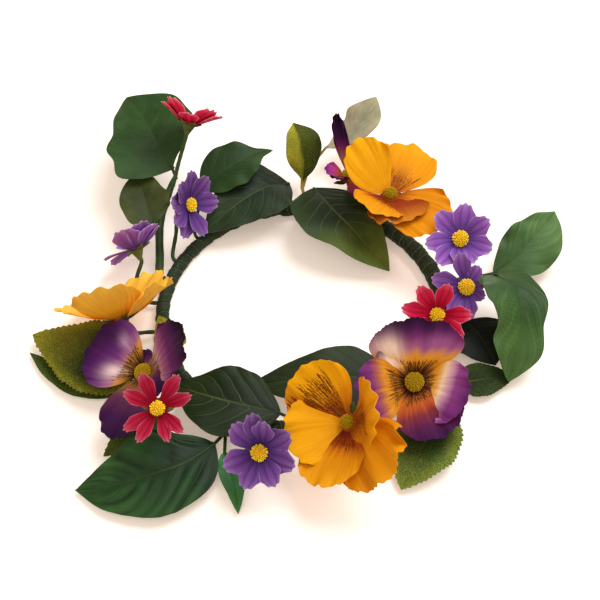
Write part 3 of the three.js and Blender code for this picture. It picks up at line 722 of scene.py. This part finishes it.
# --- Flowers ---
# A petal's print. stops: colour at each distance along; patches: (along, across, size along, size
# across, colour, strength); lines: the printed whiskers' strength and reach along, and perhaps the
# middle and spread of their fan across; teeth: number and depth of the edge's teeth; ring: colour
# round the centre
PRINTS = {
    "gold": dict(stops={0: "#c8740a", 0.2: "#eea408", 1: "#f8b40c"}),
    "back_gold": dict(stops={0: "#b8660c", 0.3: "#e89c1c", 1: "#f8b444"}),
    "whiskered": dict(stops={0: "#94380c", 0.25: "#e08c08", 0.5: "#f8b004", 1: "#fcb406"},
        lines=(1.0, 1.1, 0.25, 0.9), patches=[(0.6, 0.72, 0.34, 0.3, "#b8500f", 0.85),
        (0.2, 0.2, 0.18, 0.5, "#9c4410", 0.7)]),
    "gold_whisker": dict(stops={0: "#a8480c", 0.3: "#eb9708", 1: "#fcae12"}, lines=(0.75, 0.6),
        patches=[(0.25, 0, 0.28, 0.4, "#b05a18", 0.75)]),
    "gold_fine": dict(stops={0: "#9a3c0e", 0.3: "#e08a0a", 1: "#ee9a0c"}, lines=(0.5, 0.45)),
    "amber": dict(stops={0: "#7a2a0c", 0.25: "#cf7c08", 0.6: "#e29206", 1: "#e89a08"}, lines=(0.5, 0.4),
        patches=[(0.75, -0.5, 0.25, 0.3, "#c4760a", 0.7)], teeth=(17, 0.034)),
    "ember": dict(stops={0: "#7a1a10", 0.3: "#b8540f", 0.55: "#e8960e", 1: "#f0a612"}, lines=(0.9, 0.55)),
    "burnt": dict(stops={0: "#8a2a10", 0.45: "#9c3e14", 0.8: "#c4701a", 1: "#d8841c"}, lines=(0.3, 0.5)),
    "violet_top": dict(stops={0: "#8a3c10", 0.14: "#d0851a", 0.36: "#e8a42c", 0.46: "#cc8c6c",
        0.54: "#a85c90", 0.7: "#742a70", 0.86: "#48144e", 1: "#2a0a30"}, lines=(0.9, 0.42),
        teeth=(26, 0.024), ring="#30090a", patches=[(0.52, 0.66, 0.2, 0.3, "#fbe8d0", 1.0),
        (0.62, -0.5, 0.12, 0.4, "#a86aa0", 0.5)]),
    "violet_right": dict(stops={0: "#8a3c10", 0.16: "#c87e1c", 0.34: "#e8ac40", 0.45: "#f4dcb8",
        0.58: "#d4a4bc", 0.72: "#92468e", 1: "#5a2062"}, lines=(0.9, 0.4), teeth=(14, 0.012),
        ring="#30090a", patches=[(0.75, -0.7, 0.3, 0.5, "#6e2a74", 0.9)]),
    "violet_bottom": dict(stops={0: "#7c3010", 0.2: "#c06a1c", 0.4: "#b05022", 0.55: "#7c2a34",
        0.75: "#56184a", 1: "#3c1046"}, lines=(0.9, 0.45), teeth=(20, 0.014), ring="#30090a"),
    "violet_left": dict(stops={0: "#7c3410", 0.2: "#c8781a", 0.46: "#dc962c", 0.6: "#a85a54",
        0.72: "#7c3478", 1: "#5c2466"}, lines=(0.95, 0.55), ring="#30090a"),
    "dusk_left": dict(stops={0: "#6a300e", 0.16: "#b87a20", 0.28: "#c48a3c", 0.36: "#9c6484",
        0.5: "#6c2f78", 0.8: "#4c1a5c", 1: "#341042"}, lines=(1.0, 0.46), teeth=(18, 0.012),
        ring="#1c0804", patches=[(0.4, 0.55, 0.16, 0.26, "#ecd4d0", 0.9),
        (0.5, -0.6, 0.12, 0.2, "#c8a0c0", 0.7), (0.8, -0.5, 0.3, 0.4, "#2e0e3a", 0.7)]),
    "dusk_right": dict(stops={0: "#8a5a28", 0.2: "#c09484", 0.36: "#9a5480", 0.56: "#64245e",
        0.8: "#3e1342", 0.93: "#240a26", 1: "#120610"}, lines=(0.8, 0.35), teeth=(24, 0.02)),
    "dusk_low": dict(stops={0: "#8a5020", 0.2: "#8c5a34", 0.4: "#5c2a4c", 0.7: "#3e1446", 1: "#2c0e38"},
        lines=(0.6, 0.3)),
    "standing": dict(stops={0: "#8a4a24", 0.3: "#9a5a4a", 0.5: "#6a2058", 0.64: "#3a1040", 1: "#1c0a24"}),
    "rust": dict(stops={0: "#8a3a14", 0.35: "#7e2a34", 0.6: "#70205c", 1: "#2e0e30"}, lines=(0.4, 0.4)),
    "magenta": dict(stops={0: "#8a3a14", 0.4: "#a04438", 0.75: "#a8348c", 1: "#6a2080"}, lines=(0.4, 0.4)),
}
DAISY_STOPS = {
    "violet": {0: "#3c2162", 0.3: "#5c3a88", 0.7: "#7d4da0", 1: "#956cb4"},
    "pink": {0: "#8c0222", 0.35: "#bc0a38", 0.75: "#d4244e", 1: "#e65c7c"},
}
HUBS = {"yellow": "#a8500c", "purple": "#8c4a1c", "violet": "#4a2c70", "pink": "#8e0426"}
# at: middle of the flower; facing: the way it looks; dock: where its stem meets the hoop, or end:
# where the stem stops; tone: brightness; slim: width of the petals; dome: radius of the centre
# petals of a pansy: direction and lift in degrees, length, width, print, height of the edge's waves;
# petals of a daisy: direction and lift in degrees, and the length where it isn't the usual one
FLOWERS = [
    # Its petals are seen from the back, and tone 1.3 brightens them: painted light shining through them
    # from behind.
    dict(name="yellow_pansy_left", at=(-111, -21, 24), facing=(-0.26, 0.72, 0.64), dock=(-169, 15),
         tone=1.3, petals=[
        (346, 32, 40, 40, "back_gold", 2.2), (60, 40, 46, 40, "back_gold", 2.0),
        (116, 34, 43, 40, "back_gold", 2.0), (164, 28, 43, 40, "back_gold", 2.0),
        (262, 36, 43, 42, "back_gold", 2.6)]),
    dict(name="purple_pansy_left", at=(-93, -66, 29), facing=(-0.44, -0.23, 0.87), dock=(-148, 60),
         petals=[
        (100, 4, 15, 15, "dusk_low", 0.6), (18, 31, 43, 36, "dusk_right", 2.4),
        (146, 12, 43, 43, "dusk_left", 1.2), (249, 12, 43, 30, "dusk_low", 1.6),
        (315, 0, 18, 30, "dusk_low", 1.0)]),
    dict(name="yellow_pansy_front", at=(25, -102, 32), facing=(-0.54, -0.36, 0.76), dock=(-74, 30),
         tone=0.91, dome=4.6, petals=[
        (8, 50, 43, 38, "gold_whisker", 1.5), (128, 38, 42, 42, "whiskered", 1.2),
        (198, 42, 38, 40, "gold", 1.4), (258, 34, 43, 40, "ember", 1.8), (312, 13, 45, 46, "amber", 3.4)]),
    dict(name="purple_pansy_right", at=(64, -70, 26), facing=(0.08, -0.55, 0.83), dock=(-46, 90), dome=6.4,
         petals=[
        (340, 44, 36, 38, "violet_right", 1.0), (112, 24, 32, 34, "violet_top", 1.0),
        (91, 36, 41, 55, "violet_top", 1.4), (192, 28, 40, 36, "violet_left", 1.0),
        (292, 30, 38, 40, "violet_bottom", 1.2)]),
    dict(name="yellow_pansy_back", at=(56, 69, 38), facing=(0, -0.15, 0.99), dock=(52, 90), tone=0.9,
         dome=4.6, petals=[
        (66, 2, 43, 42, "gold_whisker", 1.8), (132, 40, 43, 34, "gold", 1.8),
        (236, 34, 29, 36, "ember", 1.6), (284, 22, 30, 40, "burnt", 2.2),
        (317, 10, 43, 42, "gold_fine", 2.0)]),
    dict(name="purple_pansy_back", at=(30, 103, 20), facing=(-0.3, 0.1, 0.94), dock=(71, 20), dome=4.4,
         petals=[
        (308, 8, 30, 24, "rust", 1.0), (88, 56, 46, 10, "standing", 1.2), (10, 0, 30, 40, "rust", 1.0),
        (176, 50, 18, 14, "magenta", 0.8), (232, 42, 15, 15, "rust", 0.6)]),
    dict(name="pink_daisy_tall", at=(-75, 115, 58), facing=(0.24, 0.74, 0.63), end=(-85.2, 89.5, 31),
         via=[(-82.4, 97, 39)], tone=1.45, slim=1.4, petals=[
        (2, 34, 23), (50, 36, 20), (95, 34, 20), (140, 36, 20), (184, 34, 23), (222, 42, 24),
        (268, 30, 15), (322, 40, 22)]),
    dict(name="violet_daisy_sprig", at=(-74, 64, 34), facing=(0.83, -0.35, 0.43), dock=(155, 60),
         via=[(-83, 55, 18)], tone=0.85, slim=1.2, dome=4.9, petals=[
        (9, 30), (60, 26), (102, 22), (150, 24), (180, 16), (216, 12), (255, 2), (291, 24)]),
    dict(name="violet_daisy_low", at=(-107, 36, 24), facing=(-0.34, 0.7, 0.62), dock=(176, 0),
         via=[(-107, 22, 9), (-105, 10, 5)], tone=1.6, slim=1.5, petals=[
        (330, 38), (15, 34, 21), (60, 28, 21), (110, 24, 21), (168, 2), (146, -16), (262, 44, 24),
        (305, 50, 24)]),
    dict(name="pink_daisy_left", at=(-82, -99, 42), facing=(0.05, -0.6, 0.8), dock=(-137, 0),
         via=[(-79, -82, 16)], tone=0.72, slim=0.68, dome=4.5, petals=[
        (21, 34), (57, 18), (114, 24), (153, 32), (213, 18), (240, 26), (290, 40), (318, 38)]),
    dict(name="violet_daisy_front", at=(-25, -118, 26), facing=(-0.1, -0.65, 0.75), dock=(-106, 20),
         tone=0.9, slim=1.15, dome=5.3, petals=[
        (33, 26), (76, 56, 30), (96, 42, 28), (132, 22), (200, 34), (249, 30), (300, 36), (342, 24)]),
    dict(name="violet_daisy_upper", at=(98, 31, 38), facing=(-0.05, -0.6, 0.8), dock=(23, 40), tone=1.5,
         slim=1.1, petals=[
        (33, 32), (81, 20), (132, 16), (189, 14), (228, 22), (262, 30, 17), (296, 30, 19), (338, 32)]),
    dict(name="violet_daisy_lower", at=(101, 4, 24), facing=(-0.1, -0.75, 0.65), dock=(3, 40), tone=1.25,
         petals=[
        (8, -8, 12), (60, 6, 15), (102, 16), (165, 14), (204, 22), (240, 34), (275, 40), (325, -10, 14)]),
    dict(name="pink_daisy_right", at=(81, -20, 26), facing=(-0.05, -0.71, 0.71), dock=(-9, 90), tone=1.15,
         slim=0.85, dome=4.8, petals=[
        (3, 34), (72, 30), (123, 26), (168, 14), (215, 30), (250, 34), (285, 34), (318, 36)]),
]


def stops_colour(stops, s):
    colours = np.array([rgb(text) for text in stops.values()])
    return np.stack([np.interp(s, list(stops), colours[:, k]) for k in range(3)], -1)


def lay_petal(direction, s, y, z, length, lift, curl):
    """Points of a petal, from distance along, distance across and height off its middle line."""
    steps = np.linspace(0, 1, 101)
    rise = np.radians(lift) * smooth(0, 0.3, steps) - np.radians(curl) * steps ** 3
    reach = length - PETAL_ROOT
    radius = PETAL_ROOT + np.concatenate([[0], np.cumsum(np.cos(rise[1:]) * (reach / 100))])
    height = np.concatenate([[0], np.cumsum(np.sin(rise[1:]) * (reach / 100))])
    tilt = np.interp(s, steps, rise)
    beyond = np.maximum(s - 1, 0) * reach
    out = np.interp(s, steps, radius) + beyond * np.cos(tilt) - z * np.sin(tilt)
    up = np.interp(s, steps, height) + beyond * np.sin(tilt) + z * np.cos(tilt)
    c, d = math.cos(math.radians(direction)), math.sin(math.radians(direction))
    return np.stack([out * c - y * d, out * d + y * c, up], -1)


def pansy_petal(skin, petal, order, rng, to_hoop):
    direction, lift, length, width, title, wave = petal
    look = PRINTS[title]
    u = np.linspace(0, 1, 57)[:, None]
    t = np.linspace(-1, 1, 91)[None]
    v = np.sin(t * math.pi / 2)
    corner = 0.42
    s = u * (1 - corner * (1 - np.sqrt(1 - v ** 2)))
    s = s * (1 + (0.022 * ripple(t, rng, low_count=1.5, high_count=3.5)
                  + 0.008 * np.sin(t * 34 + rng.uniform(0, 6))) * u ** 3)
    count, depth = look.get("teeth", (0, 0))
    s = s + depth * (np.abs((t * count / 2) % 1 * 2 - 1) - 0.5) * u ** 8
    y = width / 2 * (0.14 + 0.86 * np.sin(math.pi / 2 * u)) * v
    z = wave * ripple(t, rng, low_count=1.2, high_count=2.8) * u ** 3
    z += 0.35 * wave * np.sin(t * 19 + rng.uniform(0, 6)) * u ** 6
    z += 0.25 * np.sin(t * 30 + 2 * np.sin(t * 7 + rng.uniform(0, 6))) * u * (1 - 0.4 * u)
    z += 1.8 * (y / (width / 2)) ** 2 * u - 1.2 * np.exp(-(v / 0.16) ** 2) * u * (1 - u)
    z += PETAL_RISE["pansy"] * order * smooth(0, 0.25, u)
    grid = lay_petal(direction, s, y, z, length, lift, rng.uniform(6, 16))
    wobble = s + 0.035 * ripple(t * 2, rng)
    tint = stops_colour(look["stops"], np.clip(wobble / 0.97, 0, 1))
    for along, across, size_along, size_across, colour, strength in look.get("patches", []):
        spot = np.exp(-((s - along) / size_along) ** 2 - ((v - across) / size_across) ** 2) * strength
        tint = blended(tint, rgb(colour), spot)
    if "ring" in look:
        spot = 0.92 * np.exp(-(s / (0.17 + 0.03 * ripple(t * 4, rng))) ** 4)
        tint = blended(tint, rgb(look["ring"]), spot)
    strength, reach, *focus = look.get("lines", (0, 0.1))
    middle, spread = focus or (0, 1)
    fringe = reach * (1 + 0.12 * ripple(t * 3, rng, low_count=2, high_count=6))
    drawn = (strength * smooth(1.0, 0.5, s / np.maximum(fringe, 0.01))
             * smooth(1.05, 0.8, np.abs(v - middle) / spread))
    back = tint * 0.8 + 0.2 * tint.mean((0, 1))
    skin.sheet(to_hoop(grid), tint, stacked(v, s, drawn), PETAL_THICKNESS, 0, back, 0.1)


def daisy_petal(skin, petal, order, flower, rng, to_hoop):
    usual_length, usual_width = DAISY_PETAL
    direction, lift, length = petal if len(petal) > 2 else (*petal, usual_length)
    stops = DAISY_STOPS[flower["name"].split("_")[0]]
    width = usual_width * rng.uniform(0.9, 1.05) * min(1, length / 20) * flower.get("slim", 1.0)
    u = np.linspace(0, 1, 33)[:, None]
    t = np.linspace(-1, 1, 31)[None]
    v = np.sin(t * math.pi / 2) * 0.7 + t * 0.3
    teeth = 0.028 * np.cos(3 * math.pi * v + rng.uniform(-0.5, 0.5)) * u ** 8
    s = u * (1 - 0.17 * np.abs(v) ** 2.3 * u ** 2) + teeth
    growth = np.sin(math.pi / 2 * np.minimum(u / 0.74, 1)) ** 1.1
    shrink = 1 - 0.28 * smooth(0.7, 1.0, u)
    y = width / 2 * (0.2 + 0.8 * growth) * shrink * v
    grooves = np.exp(-((v - 0.34) / 0.13) ** 2) + np.exp(-((v + 0.34) / 0.13) ** 2)
    z = -0.34 * grooves * smooth(0.05, 0.3, u) * (1 - 0.4 * u) + 0.8 * v ** 2 * u
    z += 0.45 * ripple(t, rng, low_count=0.8, high_count=2) * u ** 3
    z += PETAL_RISE["daisy"] * (order % 2) * smooth(0, 0.2, u)
    grid = lay_petal(direction, s, y, z, length, lift, rng.uniform(4, 18))
    tint = stops_colour(stops, np.clip(s + 0.05 * ripple(t, rng), 0, 1))
    pale = smooth(0.84, 1.0, np.abs(v)) * smooth(0.2, 0.6, u) * 0.5 + smooth(0.93, 1.0, u) * 0.45
    tint = blended(tint, 0.6 * stops_colour(stops, 1.0) + 0.25, pale)
    # Darker along the pressed grooves: painted shade in the creases.
    tint = tint * (1 - (0.35 * grooves * smooth(0.1, 0.3, u))[..., None])
    pattern = stacked(v * 0.55, s, 0.5 * np.exp(-(s / 0.35) ** 2))
    skin.sheet(to_hoop(grid), tint, pattern, PETAL_THICKNESS, 0, tint * 0.9, 0.2)


def stamens(skin, count, dome, height, size, tint, rng, to_hoop):
    """Short blunt rods, standing on a dome in the spiral of a sunflower's seeds."""
    base = 1.3
    index = np.arange(count) + 0.5
    turn = index * STAMEN_TURN + rng.uniform(-0.12, 0.12, count)
    profile = [(1.0, 0.0), (1.08, 0.55), (0.95, 0.85), (0.5, 1.0)]  # width and height of each ring
    around = circle(7)
    for r, a in zip(np.sqrt(index / count), turn):
        lean = r * 1.25
        direction = polar(math.sin(lean), a, math.cos(lean))
        foot = polar(dome * 0.86 * math.sin(r * 1.5), a, base + height * 0.8 * math.cos(r * 1.45))
        tall = size * 2.3 * rng.uniform(0.75, 1.25)
        wide = size * rng.uniform(0.8, 1.15)
        x = unit(np.cross(direction, [0.2, 0.9, 0.31]))
        y = np.cross(direction, x)
        rings = np.array([foot - direction * size * 0.8 + direction * (tall * k)
                          + wide * w * (np.cos(around)[:, None] * x + np.sin(around)[:, None] * y)
                          for w, k in profile])
        heights = np.broadcast_to([[k] for _, k in profile], rings.shape[:2])
        shade = tint * rng.uniform(0.82, 1.12)
        skin.tube(to_hoop(rings), np.broadcast_to(shade, rings.shape), stacked(heights, 0.0, 0.0))
    levels = np.linspace(0, 1, 12)[:, None] * math.pi / 2
    body = polar(dome * 0.84 * np.sin(levels + 0.02), circle(24)[None],
                 0.9 + height * 0.82 * np.cos(levels))
    # The dome under the stamens is darker than they are: painted shade in the gaps between them.
    skin.tube(to_hoop(body[::-1]), tint * 0.7)


def calyx(skin, flower, sepals, green, rng, to_hoop):
    """A cup under the petals, with pointed sepals pressed against their backs."""
    top = -0.75
    profile = [(STEM_RADIUS * 1.05, top - 7.5), (STEM_RADIUS * 1.5, top - 5.6), (3.1, top - 3.2),
               (3.9, top - 1.2), (3.7, top)]
    curve = catmull([(r, 0, z) for r, z in profile], 14)
    turn = circle(30)[None]
    ribbed = curve[:, :1] * (1 + 0.05 * np.cos(turn * 6))
    pattern = stacked(turn / 6.28, np.arange(len(curve))[:, None] / 3, 0.0)
    skin.tube(to_hoop(polar(ribbed, turn, curve[:, 2:])), green, pattern)
    count, length, width = sepals
    u = np.linspace(0, 1, 22)[:, None]
    v = np.linspace(-1, 1, 9)[None]
    y = width / 2 * np.maximum(np.sin(math.pi * np.minimum(u, 0.999) ** 0.75), 0.04) * v
    z = -1.3 - 0.5 * v ** 2 + 0.35 * np.exp(-(v / 0.25) ** 2)
    for k in range(count):
        direction = k * 360 / count + rng.uniform(-8, 8)
        near = [p[1] for p in flower["petals"] if abs((p[0] - direction + 180) % 360 - 180) < 75]
        lift = min(near or [p[1] for p in flower["petals"]]) - 10
        grid = lay_petal(direction, u, y, z, length * rng.uniform(0.9, 1.1), lift, 6)
        tint = np.broadcast_to(green * (1.0 + 0.5 * u[..., None]), grid.shape)
        skin.sheet(to_hoop(grid), tint, stacked(v * 0.5, u * 3, 0.0), 0.45)


def build_flower(flower, seed):
    """Three pieces: the petals, the centre, and the stem with its calyx."""
    rng = np.random.default_rng(seed)
    name = flower["name"]
    colour, kind = name.split("_")[:2]
    pansy = kind == "pansy"
    axis = unit(flower["facing"])
    right = unit(np.array([1.0, 0, 0]) - axis * axis[0])
    basis = np.stack([right, np.cross(axis, right), axis])
    at = np.array(flower["at"], float)

    def to_hoop(points):
        return above_table(at + points @ basis, 0.15)

    skin = Skin()
    radii = np.array([[1.6], [5.4], [5.7], [5.3], [1.6]])
    heights = np.array([[-0.8], [-0.8], [0.0], [0.8], [0.9]])
    skin.tube(to_hoop(polar(radii, circle(26)[None], heights)), rgb(HUBS[colour]))
    for order, petal in enumerate(flower["petals"]):
        if pansy:
            pansy_petal(skin, petal, order, rng, to_hoop)
        else:
            daisy_petal(skin, petal, order, flower, rng, to_hoop)
    skin.build(name + "_petals_fabric", name + "_petals", colour + "_petal", [PETALS[colour]],
               PETAL_SHADE * flower.get("tone", 1.0))

    skin = Skin()
    dome = flower.get("dome", DOME_RADIUS[kind])
    crowd, height, size, tint = (5, 5.4, 0.32, "#a88c10") if pansy else (2.9, 3.6, 0.42, "#ffc62a")
    stamens(skin, int(crowd * dome ** 2), dome, height, size, rgb(tint), rng, to_hoop)
    skin.build(name + "_stamens", name + "_centre", "olive_centre" if pansy else "yellow_centre",
               [STAMEN], 1.3)

    skin = Skin()
    sepals, green = ((5, 11.5, 6.0), "#4a5a28") if pansy else ((6, 8.6, 4.4), "#66702c")
    calyx(skin, flower, sepals, rgb(green), rng, to_hoop)
    ends = dock_points(flower["dock"]) if "dock" in flower else [flower["end"]]
    route = [at - axis * 7.0, at - axis * 10.1, *flower.get("via", []), *ends]
    steps = 70
    radii = STEM_RADIUS * (1 + 0.06 * ripple(np.linspace(0, 3, steps), rng))
    lay_rod(skin, catmull(route, steps), radii, rgb("#3f552b"))
    skin.build(name + "_calyx", name + "_stem", "stem", [STEM], 0.8)


for number, each in enumerate(FLOWERS):
    build_flower(each, 200 + number)


# --- Stage ---
def stage_floor(reach=3.0):
    mesh = bpy.data.meshes.new("floor")
    mesh.from_pydata([(-reach, -reach, 0), (reach, -reach, 0), (reach, reach, 0), (-reach, reach, 0)],
                     [], [(0, 1, 2, 3)])
    floor = bpy.data.objects.new("floor", mesh)
    scene.collection.objects.link(floor)
    shader = Shader("floor_paper", Roughness=1.0, Specular_IOR_Level=0.0,
                    Base_Color=(0.95, 0.94, 0.93, 1), Emission_Color=(1.0, 0.8, 0.66, 1),
                    Emission_Strength=0.34)
    mesh.materials.append(shader.material)


def aim(thing, place_at, target):
    thing.location = place_at
    thing.rotation_euler = (Vector(target) - Vector(place_at)).to_track_quat("-Z", "Y").to_euler()
    scene.collection.objects.link(thing)


def area_light(name, place_at, size, power, colour):
    data = bpy.data.lights.new(name, "AREA")
    data.shape = "DISK"
    data.size = size
    data.energy = power
    data.color = colour
    aim(bpy.data.objects.new(name, data), place_at, (0, 0, 0))


stage_floor()
area_light("window", (0.55, 0.5, 1.35), 1.1, 19.0, (0.95, 0.99, 1.0))
area_light("fill", (-0.3, -0.9, 1.3), 1.2, 6.0, (1.0, 0.86, 0.74))
world = bpy.data.worlds.new("studio")
world.use_nodes = True
world.node_tree.nodes["Background"].inputs["Color"].default_value = (1.0, 0.85, 0.74, 1)
world.node_tree.nodes["Background"].inputs["Strength"].default_value = 0.55
scene.world = world
scene.view_settings.view_transform = "Standard"
scene.view_settings.look = "None"

camera_data = bpy.data.cameras.new("camera")
camera_data.sensor_width = 36.0
camera_data.lens = 75.0
camera_data.clip_end = 20.0
camera = bpy.data.objects.new("camera", camera_data)
aim(camera, place([-2.4, -490.6, 623.4]), place([-2.4, 12.4, 0.0]))
scene.camera = camera
